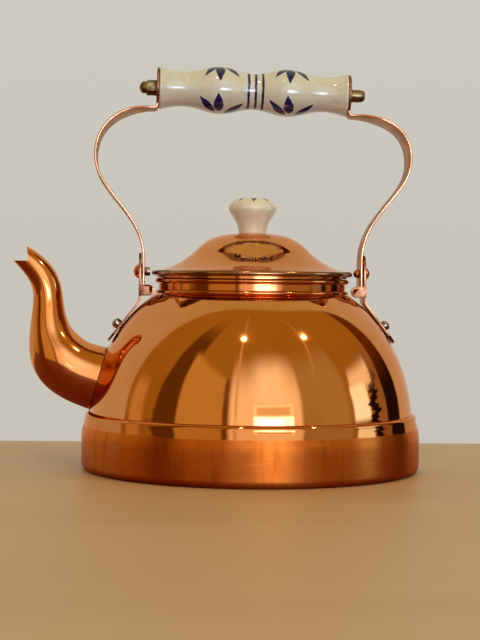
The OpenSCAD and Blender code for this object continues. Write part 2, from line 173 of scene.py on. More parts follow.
# ---- meshes ----

def skin(mesh, first, second, material=0):
    """Faces between two closed rings of vertices; a ring may be a single point."""
    sides = max(len(first), len(second))
    faces = []
    for k in range(sides):
        corners = [first[k % len(first)], first[(k + 1) % len(first)],
                   second[(k + 1) % len(second)], second[k % len(second)]]
        corners = list(dict.fromkeys(corners))
        if len(corners) > 2:
            faces.append(mesh.faces.new(corners))
            faces[-1].material_index = material
    return faces


def turned(*runs, sides=LARGE_SIDES):
    """A closed shape turned about Z. Each run is a list of (radius, height) and its material's index."""
    mesh = bmesh.new()
    rings = []
    for outline, material in runs:
        for radius, height in without_doubles(outline):
            if radius < SAME_POINT:
                ring = [mesh.verts.new((0, 0, height))]
            else:
                turns = [FULL_TURN * k / sides for k in range(sides)]
                ring = [mesh.verts.new((radius * math.cos(a), radius * math.sin(a), height)) for a in turns]
            rings.append((ring, material))
    for (ring, material), (following, _) in zip(rings, rings[1:] + rings[:1]):
        if len(ring) > 1 or len(following) > 1:
            skin(mesh, ring, following, material)
    return mesh


def set_smooth(data):
    data.shade_smooth()
    data.set_sharp_from_angle(angle=SHARP_ANGLE)


def new_object(name, mesh):
    """An object in the scene from a bmesh in millimetres, which is used up."""
    bmesh.ops.scale(mesh, vec=(MM, MM, MM), verts=mesh.verts)
    data = bpy.data.meshes.new(name)
    mesh.to_mesh(data)
    mesh.free()
    made = bpy.data.objects.new(name, data)
    bpy.context.scene.collection.objects.link(made)
    return made


def finish_piece(name, mesh, body, materials, replaced=(), place=Matrix.Identity(4)):
    """Makes a piece from a bmesh in millimetres. place is its own frame in the kettle's, in mm too."""
    bmesh.ops.remove_doubles(mesh, verts=mesh.verts, dist=SAME_POINT)
    bmesh.ops.recalc_face_normals(mesh, faces=mesh.faces)
    piece = new_object(name, mesh)
    for material in materials:
        piece.data.materials.append(material)
    set_smooth(piece.data)
    piece.matrix_world = Matrix.Translation(place.to_translation() * MM) @ place.to_3x3().to_4x4()
    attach(piece, body)
    if replaced:
        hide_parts(*replaced)
    return piece


def cut(piece, cutter_mesh, operation="DIFFERENCE"):
    """Cuts the piece with a bmesh in millimetres in the piece's own frame, or joins the two."""
    bmesh.ops.recalc_face_normals(cutter_mesh, faces=cutter_mesh.faces)
    cutter = new_object("cutter", cutter_mesh)
    cutter.matrix_world = piece.matrix_world
    modifier = piece.modifiers.new("cut", "BOOLEAN")
    modifier.operation = operation
    modifier.solver = "EXACT"
    modifier.object = cutter
    apply_modifiers(piece)
    bpy.data.objects.remove(cutter)
    # the cut can leave slivers where it passes close to a corner
    mesh = bmesh.new()
    mesh.from_mesh(piece.data)
    bmesh.ops.remove_doubles(mesh, verts=mesh.verts, dist=SLIVER * MM)
    bmesh.ops.dissolve_degenerate(mesh, edges=mesh.edges, dist=SLIVER * MM)
    mesh.to_mesh(piece.data)
    mesh.free()
    set_smooth(piece.data)


def apply_modifiers(piece):
    shaped = piece.evaluated_get(bpy.context.evaluated_depsgraph_get())
    piece.data = bpy.data.meshes.new_from_object(shaped)
    piece.modifiers.clear()
    set_smooth(piece.data)


def add_rod(mesh, place, radius, low, high):
    """Adds a closed cylinder along the Z axis of a placing matrix."""
    bmesh.ops.create_cone(
        mesh, cap_ends=True, segments=SMALL_SIDES, radius1=radius, radius2=radius, depth=high - low,
        matrix=place @ Matrix.Translation((0, 0, (low + high) / 2)),
    )


def refined(node, body, materials, bevel):
    """A piece with a CAD node's shape, cleaned up, and its edges rounded with the last material."""
    mesh = bmesh.new()
    mesh.from_mesh(frame["nodes"][node].data)
    bmesh.ops.scale(mesh, vec=(1 / MM,) * 3, verts=mesh.verts)
    bmesh.ops.remove_doubles(mesh, verts=mesh.verts, dist=SLIVER)
    bmesh.ops.dissolve_limit(mesh, angle_limit=FLAT_ANGLE, verts=mesh.verts, edges=mesh.edges)
    piece = finish_piece(node + "_finished", mesh, body, materials, [node])
    rounding = piece.modifiers.new("rounding", "BEVEL")
    rounding.width = bevel * MM
    rounding.segments = BEVEL_STEPS
    rounding.limit_method = "ANGLE"
    rounding.angle_limit = SHARP_ANGLE
    rounding.material = len(materials) - 1
    rounding.use_clamp_overlap = True
    apply_modifiers(piece)
    return piece


# ---- materials ----

class Value:
    """A shader socket that plain arithmetic builds on."""

    def __init__(self, nodes, socket):
        self.nodes = nodes
        self.socket = socket

    def __add__(self, other):
        return self.nodes.math("ADD", self, other)

    def __sub__(self, other):
        return self.nodes.math("SUBTRACT", self, other)

    def __rsub__(self, other):
        return self.nodes.math("SUBTRACT", other, self)

    def __mul__(self, other):
        return self.nodes.math("MULTIPLY", self, other)

    def __truediv__(self, other):
        return self.nodes.math("DIVIDE", self, other)

    __radd__ = __add__
    __rmul__ = __mul__


class Nodes:
    """Builds a node tree. A value may be a number, a colour or a Value."""

    def __init__(self, tree):
        self.tree = tree
        tree.nodes.clear()

    def put(self, socket, value):
        if isinstance(value, Value):
            self.tree.links.new(value.socket, socket)
        elif socket.type == "RGBA":
            socket.default_value = (*value, 1)
        else:
            socket.default_value = value

    def add(self, kind, inputs=(), **settings):
        node = self.tree.nodes.new(kind)
        for name, value in settings.items():
            setattr(node, name, value)
        for name, value in dict(inputs).items():
            self.put(node.inputs[name], value)
        return node

    def math(self, operation, *values):
        node = self.add("ShaderNodeMath", dict(enumerate(values)), operation=operation)
        return Value(self, node.outputs[0])

    def step(self, value, low, high):
        """0 where the value is under low, 1 where it is over high, smooth between."""
        node = self.add(
            "ShaderNodeMapRange", {"Value": value, "From Min": low, "From Max": high},
            interpolation_type="SMOOTHSTEP",
        )
        return Value(self, node.outputs["Result"])

    def between(self, value, low, high, soft):
        """1 where the value lies between low and high, with soft ends."""
        return self.step(value, low - soft, low + soft) * (1 - self.step(value, high - soft, high + soft))

    def mix(self, amount, first, second):
        """A colour between two others."""
        node = self.add("ShaderNodeMix", data_type="RGBA")
        # the Mix node has its sockets once for each data type; these are the factor and the colours
        for socket, value in ((0, amount), (6, first), (7, second)):
            self.put(node.inputs[socket], value)
        return Value(self, node.outputs[2])

    def parts(self, vector):
        node = self.add("ShaderNodeSeparateXYZ", {0: vector})
        return [Value(self, output) for output in node.outputs]

    def joined(self, x, y, z):
        node = self.add("ShaderNodeCombineXYZ", {0: x, 1: y, 2: z})
        return Value(self, node.outputs[0])


class Paint(Nodes):
    """A material. Its patterns are laid out in millimetres in the piece's own frame."""

    def __init__(self, name):
        self.material = bpy.data.materials.new(name)
        self.material.use_nodes = True
        super().__init__(self.material.node_tree)
        self.shader = self.add("ShaderNodeBsdfPrincipled")
        output = self.add("ShaderNodeOutputMaterial")
        self.tree.links.new(self.shader.outputs["BSDF"], output.inputs["Surface"])
        metres = Value(self, self.add("ShaderNodeTexCoord").outputs["Object"])
        scaled = self.add("ShaderNodeVectorMath", {0: metres}, operation="SCALE")
        scaled.inputs["Scale"].default_value = 1 / MM
        self.place = Value(self, scaled.outputs[0])
        self.x, self.y, self.z = self.parts(self.place)

    def set(self, **inputs):
        names = {name.lower().replace(" ", "_"): name for name in self.shader.inputs.keys()}
        for name, value in inputs.items():
            self.put(self.shader.inputs[names[name]], value)

    def noise(self, size, detail=3, place=None, stretch=(1, 1, 1)):
        """Cloudy values about 0.5, in blobs about one size across, drawn out by stretch."""
        spread = self.add("ShaderNodeVectorMath", {0: place or self.place}, operation="MULTIPLY")
        spread.inputs[1].default_value = [1 / (size * s) for s in stretch]
        inputs = {"Vector": Value(self, spread.outputs[0]), "Detail": float(detail), "Scale": 1.0}
        return Value(self, self.add("ShaderNodeTexNoise", inputs).outputs[0])

    def spots(self, spacing, radius, share):
        """1 in small round spots of uneven size, on a share of the places."""
        spread = self.add("ShaderNodeVectorMath", {0: self.place}, operation="SCALE")
        spread.inputs["Scale"].default_value = 1 / spacing
        cells = self.add("ShaderNodeTexVoronoi", {"Vector": Value(self, spread.outputs[0]), "Scale": 1.0})
        distance = Value(self, cells.outputs["Distance"])
        chance = self.parts(Value(self, cells.outputs["Color"]))[0]
        size = radius / spacing
        return (1 - self.step(distance, size * 0.5, size)) * self.step(chance, 1 - share, 1 - share + 0.02)

    def turn(self):
        """The angle round the Z axis, in degrees from the front (-Y)."""
        return self.math("ARCTAN2", self.x, 0 - self.y) * math.degrees(1)

    def around(self):
        """A place for streaks that run round the Z axis: radius, turn and height."""
        radius = self.math("SQRT", self.x * self.x + self.y * self.y)
        return self.joined(radius, self.turn(), self.z)

    def bump(self, height, distance, normal=None):
        node = self.add("ShaderNodeBump", {"Height": height, "Strength": 1.0, "Distance": distance * MM})
        if normal:
            self.put(node.inputs["Normal"], normal)
        return Value(self, node.outputs[0])


# Where the band's polished shoulder begins
SHOULDER_Z = 26.3
# Colour of copper's reflections at a glancing angle, polished and brushed
COPPER_EDGE_TINT = (1.0, 0.80, 0.66)
BRUSHED_EDGE_TINT = (1.0, 0.74, 0.54)


def polished_copper(name, clean, tarnished, gloss, tarnish=0.5, waves=0.08):
    """Mirror-polished sheet: faint clouds of tarnish, wiped smears, small dark spots."""
    paint = Paint(name)
    clouds = paint.step(paint.noise(38, 4), 0.45, 0.75)
    smears = paint.step(paint.noise(9, 5, stretch=(1, 1, 2.5)), 0.45, 0.8)
    specks = paint.spots(17, 0.55, 0.22)
    colour = paint.mix(clouds * tarnish, clean, tarnished)
    colour = paint.mix(specks * 0.8, colour, (0.07, 0.015, 0.005))
    wobble = paint.noise(26, 1)
    scratches = paint.noise(0.35, 2, place=paint.around(), stretch=(1, 90, 1))
    normal = paint.bump(scratches, 0.0012, paint.bump(wobble, waves))
    paint.set(
        base_color=colour, metallic=1.0, specular_tint=COPPER_EDGE_TINT,
        roughness=gloss + smears * 0.05 + specks * 0.3, normal=normal,
    )
    return paint.material


def brushed_copper():
    """The base band: a side brushed round its length, which spreads its reflections up and down, under
    a polished shoulder."""
    paint = Paint("brushed_copper")
    place = paint.around()
    polished = paint.step(paint.z + (paint.noise(9, 2) - 0.5) * 1.2, SHOULDER_Z - 0.5, SHOULDER_Z + 0.8)
    clouds = paint.step(paint.noise(30, 4), 0.4, 0.75)
    runs = paint.step(paint.noise(2.2, 3, place=place, stretch=(1, 1.2, 14)), 0.5, 0.8)
    rubs = paint.step(paint.noise(1.3, 3, place=place, stretch=(1, 9, 1.4)), 0.58, 0.75)
    specks = paint.spots(13, 0.6, 0.3)
    worn = paint.step(paint.noise(7, 5), 0.6, 0.72)
    side = paint.mix(clouds * 0.6, (0.76, 0.195, 0.028), (0.58, 0.110, 0.010))
    side = paint.mix(runs * 0.5, side, (0.38, 0.062, 0.004))
    side = paint.mix(rubs * 0.3, side, (0.84, 0.40, 0.14))
    shoulder = paint.mix(clouds * 0.5, (0.68, 0.235, 0.065), (0.52, 0.145, 0.03))
    colour = paint.mix(polished, side, shoulder)
    colour = paint.mix(specks * 0.85, colour, (0.05, 0.012, 0.004))
    brushing = paint.noise(0.30, 3, place=place, stretch=(1, 110, 1)) * (1 - polished * 0.9)
    normal = paint.bump(brushing, 0.004, paint.bump(paint.noise(30, 1), 0.1))
    tangent = paint.add("ShaderNodeTangent", direction_type="RADIAL", axis="Z")
    roughness = 0.35 - polished * 0.29 + worn * 0.06 + specks * 0.3
    paint.set(
        base_color=colour, metallic=1.0, specular_tint=BRUSHED_EDGE_TINT, roughness=roughness,
        anisotropic=0.85, anisotropic_rotation=0.25, tangent=Value(paint, tangent.outputs[0]),
        normal=normal,
    )
    return paint.material


def satin_copper(name, clean, dull, gloss):
    """Rolled strip that is handled but not polished: brown patches and fine scratches along it."""
    paint = Paint(name)
    clouds = paint.step(paint.noise(11, 4), 0.38, 0.68)
    smudges = paint.step(paint.noise(4.5, 3), 0.5, 0.8)
    scratches = paint.noise(2.2, 1, stretch=(1, 1, 12))
    colour = paint.mix(clouds * 0.7, clean, dull)
    colour = paint.mix(smudges * 0.3, colour, (0.22, 0.09, 0.045))
    normal = paint.bump(scratches, 0.006)
    paint.set(
        base_color=colour, metallic=1.0, specular_tint=COPPER_EDGE_TINT,
        roughness=gloss + clouds * 0.10 + smudges * 0.08, normal=normal,
    )
    return paint.material


def aged_metal(name, bright, dark, gloss, grain=2.5):
    """Old brass or steel: dark patina in patches, worn bright between them, faintly pitted."""
    paint = Paint(name)
    patches = paint.step(paint.noise(grain, 4), 0.38, 0.68)
    pits = paint.noise(0.6, 3)
    colour = paint.mix(patches * 0.85, bright, dark)
    normal = paint.bump(pits, 0.008)
    paint.set(base_color=colour, metallic=1.0, roughness=gloss + patches * 0.2, normal=normal)
    return paint.material


def tinned():
    """Wiped tin lining: soft grey with darker flow marks."""
    paint = Paint("tinned_lining")
    flows = paint.step(paint.noise(14, 5, stretch=(1, 1, 0.5)), 0.4, 0.7)
    wipes = paint.noise(0.8, 3, place=paint.around(), stretch=(1, 40, 1))
    colour = paint.mix(flows, (0.66, 0.64, 0.60), (0.42, 0.40, 0.37))
    normal = paint.bump(wipes, 0.01)
    paint.set(base_color=colour, metallic=1.0, roughness=0.30 + flows * 0.18, normal=normal)
    return paint.material


CREAM = (0.71, 0.665, 0.48)
CREAM_DARK = (0.54, 0.47, 0.30)
# The knob's cream is warmer and paler than the grip's, though the glaze is the same: painted light, the
# glow that the copper lid throws on it
KNOB_CREAM_COPPER_GLOW = (0.83, 0.74, 0.52)
KNOB_CREAM_DARK_COPPER_GLOW = (0.68, 0.56, 0.35)
NAVY = (0.003, 0.005, 0.05)
NAVY_THIN = (0.015, 0.025, 0.16)


class Glaze(Paint):
    """Cream glaze with dark blue painted marks under it."""

    def leaf(self, across, along, direction, start, length, width):
        """A painted leaf, round at its foot and pointed at its tip. Degrees and millimetres."""
        c, s = math.cos(math.radians(direction)), math.sin(math.radians(direction))
        reach = self.step_linear((across * c + along * s - start) / length)
        side = self.math("ABSOLUTE", along * c - across * s)
        half = self.math("SINE", self.math("POWER", reach, 0.72) * math.pi) * (width / 2)
        return self.step(half - side, 0.0, 0.3)

    def step_linear(self, value):
        node = self.add("ShaderNodeClamp", {"Value": value})
        return Value(self, node.outputs[0])

    def cover(self, marks, clean=CREAM, dull=CREAM_DARK):
        """Sets the glaze, with the given marks painted under it."""
        brush = self.step(self.noise(1.6, 3), 0.35, 0.75)
        mottle = self.step(self.noise(6, 4), 0.35, 0.8)
        specks = self.spots(3.2, 0.30, 0.22)
        colour = self.mix(mottle * 0.35, clean, dull)
        colour = self.mix(specks * 0.55, colour, (0.30, 0.20, 0.12))
        colour = self.mix(marks, colour, self.mix(brush * 0.7, NAVY, NAVY_THIN))
        normal = self.bump(self.noise(2.4, 2), 0.010, self.bump(self.noise(13, 1), 0.16))
        self.set(
            base_color=colour, roughness=0.08, ior=1.55, coat_weight=0.4, coat_roughness=0.02,
            normal=normal,
        )
        return self.material


# Leaves of a rosette on the grip: direction, start, length and width
TOP_LEAVES = ((90, 3.8, 15.2, 5.8), (122, 3.4, 14.0, 4.6), (50, 4.0, 14.2, 4.6))
LOW_LEAVES = ((93, 5.5, 13.2, 6.4), (127, 5.0, 15.2, 5.2), (36, 3.6, 14.6, 5.2))
BULGE_X = 20.0
BULGE_R = 14.0
# Each bulge's rosettes: which side of the middle, and how far the hand that painted them turned them
ROSETTES = ((-1, 0), (1, 5))
ROSETTE_X = BULGE_X + 1.2
STRIPE_GAP = 4.2
STRIPE_HALF = 0.74
STRIPE_SOFT = 0.1
PAINT_SHIFT = 0.9
KNOB_LEAF_PITCH = 45.0


def grip_glaze():
    """Two rosettes on each bulge, above and below, and three stripes round the middle."""
    glaze = Glaze("grip_glaze")
    hand = (glaze.noise(3.0, 2) - 0.5) * 0.8
    along = glaze.x - PAINT_SHIFT + hand
    marks = 0.0
    for stripe in (-1, 0, 1):
        offset = glaze.math("ABSOLUTE", along - stripe * STRIPE_GAP)
        stripe_mark = 1 - glaze.step(offset, STRIPE_HALF - STRIPE_SOFT, STRIPE_HALF + STRIPE_SOFT)
        marks = glaze.math("MAXIMUM", marks, stripe_mark)
    from_top = glaze.math("ABSOLUTE", glaze.math("ARCTAN2", glaze.y, glaze.z)) * BULGE_R + hand
    from_bottom = glaze.math("ABSOLUTE", glaze.math("ARCTAN2", glaze.y, 0 - glaze.z)) * BULGE_R + hand
    for side, twist in ROSETTES:
        across = along - side * ROSETTE_X
        for height, leaves in ((from_top, TOP_LEAVES), (from_bottom, LOW_LEAVES)):
            for direction, *shape in leaves:
                marks = glaze.math("MAXIMUM", marks, glaze.leaf(across, height, direction + twist, *shape))
    return glaze.cover(marks)


def knob_glaze():
    """Eight leaves on the crown, their tips just over its edge."""
    glaze = Glaze("knob_glaze")
    radius = glaze.math("SQRT", glaze.x * glaze.x + glaze.y * glaze.y)
    turn = glaze.turn() + (glaze.noise(4, 2) - 0.5) * 5
    half_pitch = KNOB_LEAF_PITCH / 2
    folded = glaze.math("MODULO", turn + 360 + half_pitch, KNOB_LEAF_PITCH) - half_pitch
    side = glaze.math("ABSOLUTE", folded) * math.radians(1) * radius
    reach = glaze.step_linear((radius - 4.0) / 8.8)
    half = glaze.math("SINE", glaze.math("POWER", reach, 0.8) * math.pi) * 1.9
    crown = glaze.step(glaze.z, 17.0, 17.6)
    # the knob's cream carries painted light, the warm glow from the copper lid
    return glaze.cover(glaze.step(half - side, 0.0, 0.3) * crown, KNOB_CREAM_COPPER_GLOW, KNOB_CREAM_DARK_COPPER_GLOW)


copper = polished_copper("polished_copper", (0.80, 0.315, 0.10), (0.66, 0.215, 0.05), 0.045)
spout_copper = polished_copper("spout_copper", (0.84, 0.32, 0.10), (0.60, 0.15, 0.022), 0.10, 0.6)
neck_copper = polished_copper("neck_copper", (0.66, 0.21, 0.06), (0.40, 0.08, 0.016), 0.09, 0.7)
lid_copper = polished_copper("lid_copper", (0.80, 0.33, 0.115), (0.68, 0.24, 0.065), 0.06, 0.4, 0.12)
band_copper = brushed_copper()
strap_copper = satin_copper("strap_copper", (0.36, 0.155, 0.08), (0.20, 0.072, 0.034), 0.27)
ear_copper = satin_copper("ear_copper", (0.34, 0.140, 0.07), (0.20, 0.070, 0.032), 0.24)
# Paler copper for rounded edges and the spout's lip: a painted highlight along the edges
highlit_edge_copper = satin_copper("highlit_edge_copper", (0.74, 0.37, 0.21), (0.58, 0.26, 0.135), 0.24)
bead_copper = aged_metal("darkened_bead", (0.46, 0.225, 0.09), (0.21, 0.095, 0.038), 0.10, 14)
braze = aged_metal("braze_line", (0.26, 0.10, 0.04), (0.09, 0.03, 0.012), 0.30, 1.5)
brass = aged_metal("aged_brass", (0.34, 0.24, 0.11), (0.07, 0.042, 0.018), 0.26, 4)
steel = aged_metal("aged_steel", (0.42, 0.36, 0.27), (0.16, 0.125, 0.08), 0.20, 5)
tin = tinned()


# ---- the pot ----

def base_band():
    outer = arc(base_r - corner_r, corner_r, corner_r, -90, 0)
    top_r, top_z = base_r - side_lean, crease_z - lip_r
    outer += curve((base_r, side_top_z), (base_r, side_top_z + 5),
                   (top_r + 0.3, crease_z - 6), (top_r, top_z))
    outer += arc(top_r - lip_r, top_z, lip_r, 0, 90)
    inner = list(reversed(shifted(outer, sheet)))
    finish_piece("base_band_turned", turned((outer, 0), (inner, 1)), "pot",
                 [band_copper, tin], ["base_band"])


STRAINER_AT = (-90.7, 0, 53)
STRAINER_PITCH = math.radians(16)
STRAINER_RING_R, STRAINER_RING_HOLES = 9.5, 6
STRAINER_HOLE_R, STRAINER_REACH = 3, 12
EAR_SLOPE = math.radians(52)
EAR_SCREW_LOW = 3.2
EAR_SCREW_HOLE_R, EAR_SCREW_REACH = 2.05, (80, 110)


def ear_screw_place(side):
    """A placing matrix with its Z axis along an ear's screw, which passes just under the dome's centre."""
    place = Matrix.Translation((0, 0, dome_z)) @ Matrix.Rotation(side * EAR_SLOPE, 4, "Y")
    return place @ Matrix.Translation((side * EAR_SCREW_LOW, 0, 0))


def dome():
    low = math.degrees(math.asin((crease_z - 4 - dome_z) / dome_r))
    high = math.degrees(math.acos(neck_inner_r / dome_r))
    inner_r = dome_r - sheet
    inner_high = math.degrees(math.acos(neck_inner_r / inner_r))
    outer = arc(0, dome_z, dome_r, low, high, 96)
    inner = arc(0, dome_z, inner_r, inner_high, low, 72)
    piece = finish_piece("dome_spun", turned((outer, 0), (inner, 1)), "pot",
                         [copper, tin], ["dome_shell"])
    cutter = bmesh.new()
    middle = Matrix.Translation(STRAINER_AT) @ Matrix.Rotation(STRAINER_PITCH - math.pi / 2, 4, "Y")
    places = [middle]
    for i in range(STRAINER_RING_HOLES):
        turn = Matrix.Rotation(FULL_TURN * i / STRAINER_RING_HOLES, 4, "Z")
        places.append(middle @ turn @ Matrix.Translation((STRAINER_RING_R, 0, 0)))
    for place in places:
        add_rod(cutter, place, STRAINER_HOLE_R, -STRAINER_REACH, STRAINER_REACH)
    for side in (-1, 1):
        add_rod(cutter, ear_screw_place(side), EAR_SCREW_HOLE_R, *EAR_SCREW_REACH)
    cut(piece, cutter)


def neck_collar():
    foot_centre = (neck_r + 0.3, neck_z - 6.7)
    bead_centre = (neck_r + bead_r - sheet, neck_z)
    foot = arc(*foot_centre, foot_bead_r, -40, 100)
    bead = arc(*bead_centre, bead_r, -112, 180, 32)
    low_z = dome_z + math.sqrt(dome_r**2 - neck_inner_r**2) - LAP
    inner = [(neck_inner_r, neck_z), (neck_inner_r, low_z), (neck_r + 0.6, low_z - 1.2)]
    finish_piece("neck_collar_turned", turned((foot + bead, 0), (inner, 1)), "pot",
                 [neck_copper, tin], ["neck_collar"])


# The guide that draws the spout's middle line, as in the CAD model: x, z and outside radius
SPOUT_GUIDE = [
    (-70, 48, 20.5), (-92, 53, 19), (-107.5, 58.5, 18), (-115, 67.5, 18), (-120, 81.5, 11.5),
    (-120, 98, 8.5), (-121.5, 112.5, 8.5), (-135.5, 126, 6.5), (-157, 139.5, 1),
]
SPOUT_ROOT = (-84, 51, 19.4)
SPOUT_TIP = (-141, 129.4, 5.3)
SPOUT_END = (-143.5, 131.6, 4.6)
SPOUT_WALL = 1.1
SPOUT_SIDES = 128
SPOUT_STEPS = 110
# The corner of the notch in the lip, x and z, and how far its edge leans out for each mm up
NOTCH = (-131.5, 122.0)
NOTCH_LEAN = 2 / 12


class Spout:
    """The spout's tube as a smooth surface, so that both of its ends can lie on exact cuts."""

    COARSE_STEPS = 160
    HALVINGS = 24

    def __init__(self):
        self.path = [SPOUT_ROOT] + spline(SPOUT_GUIDE, steps=24) + [SPOUT_TIP, SPOUT_END]

    def at(self, t, turn, thinner=0.0):
        """The point a share t of the way along, at an angle round the tube from its upper side."""
        place = t * (len(self.path) - 1)
        i = min(int(place), len(self.path) - 2)
        a, b = self.path[i], self.path[i + 1]
        x, z, radius = (p + (q - p) * (place - i) for p, q in zip(a, b))
        before = self.slope(i)
        after = self.slope(i + 1)
        dx, dz = (p + (q - p) * (place - i) for p, q in zip(before, after))
        length = math.hypot(dx, dz)
        out = (radius - thinner) * math.cos(turn)
        return Vector((x + dz / length * out, (radius - thinner) * math.sin(turn), z - dx / length * out))

    def slope(self, i):
        """The way that the path runs at one of its points."""
        a = self.path[max(i - 1, 0)]
        b = self.path[min(i + 1, len(self.path) - 1)]
        return b[0] - a[0], b[1] - a[1]

    def where(self, turn, thinner, beyond):
        """The first share of the way at which a test of the point there turns true."""
        low, high = 0.0, 1.0
        for i in range(self.COARSE_STEPS + 1):
            share = i / self.COARSE_STEPS
            if beyond(self.at(share, turn, thinner)):
                high = share
                break
            low = share
        for _ in range(self.HALVINGS):
            middle = (low + high) / 2
            if beyond(self.at(middle, turn, thinner)):
                high = middle
            else:
                low = middle
        return high


def outside_dome(point, radius=dome_r - LAP):
    return (point - Vector((0, 0, dome_z))).length > radius


def in_notch(point):
    edge = NOTCH[0] - (point.z - NOTCH[1]) * NOTCH_LEAN
    return point.x < edge and point.z > NOTCH[1]


def spout():
    tube = Spout()
    mesh = bmesh.new()
    walls = []
    for thinner in (0.0, SPOUT_WALL):
        ends = []
        for k in range(SPOUT_SIDES):
            turn = FULL_TURN * k / SPOUT_SIDES
            start = tube.where(turn, thinner, outside_dome)
            end = tube.where(turn, thinner, in_notch)
            ends.append((turn, start, end))
        walls.append([
            [mesh.verts.new(tube.at(a + (b - a) * i / SPOUT_STEPS, turn, thinner)) for turn, a, b in ends]
            for i in range(SPOUT_STEPS + 1)
        ])
    outer, inner = walls
    for rings, material in ((outer, 0), (inner, 1)):
        for ring, following in zip(rings, rings[1:]):
            skin(mesh, ring, following, material)
    # the lip's cut face takes the paler edge copper, a painted highlight
    skin(mesh, outer[-1], inner[-1], 2)
    skin(mesh, outer[0], inner[0])
    finish_piece("spout_drawn", mesh, "pot", [spout_copper, tin, highlit_edge_copper], ["spout"])


BRAZE_R = 0.42
BRAZE_SIDES = 10
BRAZE_UNEVEN = 0.18


def spout_braze():
    """The thin line of braze round the foot of the spout."""
    tube = Spout()
    centre = Vector((0, 0, dome_z))
    seam = []
    for k in range(SPOUT_SIDES):
        turn = FULL_TURN * k / SPOUT_SIDES
        share = tube.where(turn, 0.0, lambda point: outside_dome(point, dome_r))
        seam.append(tube.at(share, turn))
    mesh = bmesh.new()
    rings = []
    for k, point in enumerate(seam):
        along = (seam[(k + 1) % SPOUT_SIDES] - seam[k - 1]).normalized()
        out = (point - centre).normalized()
        aside = along.cross(out).normalized()
        size = BRAZE_R * (1 + BRAZE_UNEVEN * math.sin(k * 1.7) * math.sin(k * 0.63))
        ring = []
        for j in range(BRAZE_SIDES):
            a = FULL_TURN * j / BRAZE_SIDES
            ring.append(mesh.verts.new(point + (out * math.cos(a) + aside * math.sin(a)) * size))
        rings.append(ring)
    for ring, following in zip(rings, rings[1:] + rings[:1]):
        skin(mesh, ring, following)
    finish_piece("spout_braze", mesh, "pot", [braze])


# ---- the lid ----

def lid_outline():
    outline = [(lid_r - rim_r, rim_z + rim_r)]
    outline += curve((lid_r - 5, rim_z + rim_r + 0.25), (49, 119.3), (43.5, 120.9), (35.2, 127.8), steps=40)
    outline += curve((34.2, 128.8), (29.2, 133.7), (25, 137.6), (14.5, 139.2), steps=32)
    return without_doubles(outline + [(crown_flat_r, crown_z), (0, crown_z)])


def lid():
    outer = lid_outline()
    inner = [point for point in reversed(shifted(outer, sheet)) if point[0] > crown_flat_r]
    bore_r = 2.1
    outer[-1] = (bore_r, crown_z)
    inner.insert(0, (bore_r, crown_z - sheet))
    finish_piece("lid_spun", turned((outer, 0), (inner, 1)), "lid",
                 [lid_copper, tin], ["lid_shell"])
    rim = arc(lid_r - rim_r, rim_z, rim_r, 0, 360, 40)[:-1]
    finish_piece("lid_rim_rolled", turned((rim, 0)), "lid", [bead_copper], ["lid_rim"])
    flange_z = neck_z + bead_r + 0.3
    under = rim_z + rim_r - sheet - 0.1
    skirt = [
        (skirt_r - sheet, skirt_low_z), (skirt_r, skirt_low_z),
        (skirt_r, flange_z), (flange_r, flange_z),
        (flange_r, flange_z + sheet), (skirt_r, flange_z + sheet),
        (skirt_r, under), (skirt_r - sheet, under),
    ]
    finish_piece("lid_skirt_turned", turned((skirt, 0)), "lid", [neck_copper], ["lid_skirt"])


def knob():
    bore_r, bore_top = 3.6, 11.5
    outline = [(bore_r, 0), (7.6, 0), (7.95, 0.15), (8.1, 0.5)]
    outline += curve((8.2, 1), (9.2, 7.5), (12.6, 10.2), (knob_r - 0.2, 13.6))
    outline += curve((knob_r, 14.6), (knob_r + 0.1, 17.2), (12.2, 19.6), (8.6, knob_h - 0.4))
    outline += [(5, knob_h - 0.1), (0, knob_h), (0, bore_top), (bore_r, bore_top)]
    finish_piece("lid_knob_glazed", turned((outline, 0), sides=MIDDLE_SIDES), "lid",
                 [knob_glaze()], ["lid_knob"], Matrix.Translation((0, 0, crown_z)))


# The stop tab's rounded tip, and the x within which nothing of an ear but its tab reaches
STOP_TAB_TIP_X, STOP_TAB_R, STOP_TAB_ONLY_X = 57.8, 3.3, 60
STOP_TAB_MIDDLE_Z = pivot_z - 10.9


def ear(side, hand):
    """An ear, with a shallow D pressed into the face of its stop tab."""
    name = "ear_" + hand
    # the ear's rounded edges take the paler edge copper, a painted highlight
    piece = refined(name, "pot", [ear_copper, highlit_edge_copper], 0.28)
    points = [v.co / MM for v in frame["nodes"][name].data.vertices]
    face_y = min(point.y for point in points if abs(point.x) < STOP_TAB_ONLY_X)
    rim, depth, above = 1.1, 0.3, 1.0
    inner_r = STOP_TAB_R - rim
    middle_x = STOP_TAB_TIP_X + STOP_TAB_R
    outline = arc(middle_x, STOP_TAB_MIDDLE_Z, inner_r, 90, 270)
    outline += [(middle_x + inner_r, STOP_TAB_MIDDLE_Z + up) for up in (-inner_r, inner_r)]
    cutter = bmesh.new()
    ends = []
    for y in (face_y - above, face_y + depth):
        ends.append([cutter.verts.new((side * x, y, z)) for x, z in outline])
    skin(cutter, *ends)
    cutter.faces.new(ends[0])
    cutter.faces.new(ends[1])
    cut(piece, cutter)


# ---- the handle ----

handle_turn = Matrix.Rotation(-lean, 4, "X")
handle_place = Matrix.Translation((0, 0, pivot_z)) @ handle_turn @ Matrix.Translation((0, 0, -pivot_z))
grip_place = handle_place @ Matrix.Translation((0, 0, grip_z)) @ Matrix.Rotation(grip_tilt, 4, "Y")
z_to_x = Matrix.Rotation(math.pi / 2, 4, "Y")

GRIP_MID_R, GRIP_BULGE_R, GRIP_WAIST_R, GRIP_END_R = 10.6, 14.0, 10.3, 13.1
WAIST_X = 41.5


def eased(a, b, t):
    """From a to b as t goes from 0 to 1, level at both."""
    return a + (b - a) * (1 - math.cos(math.pi * t)) / 2


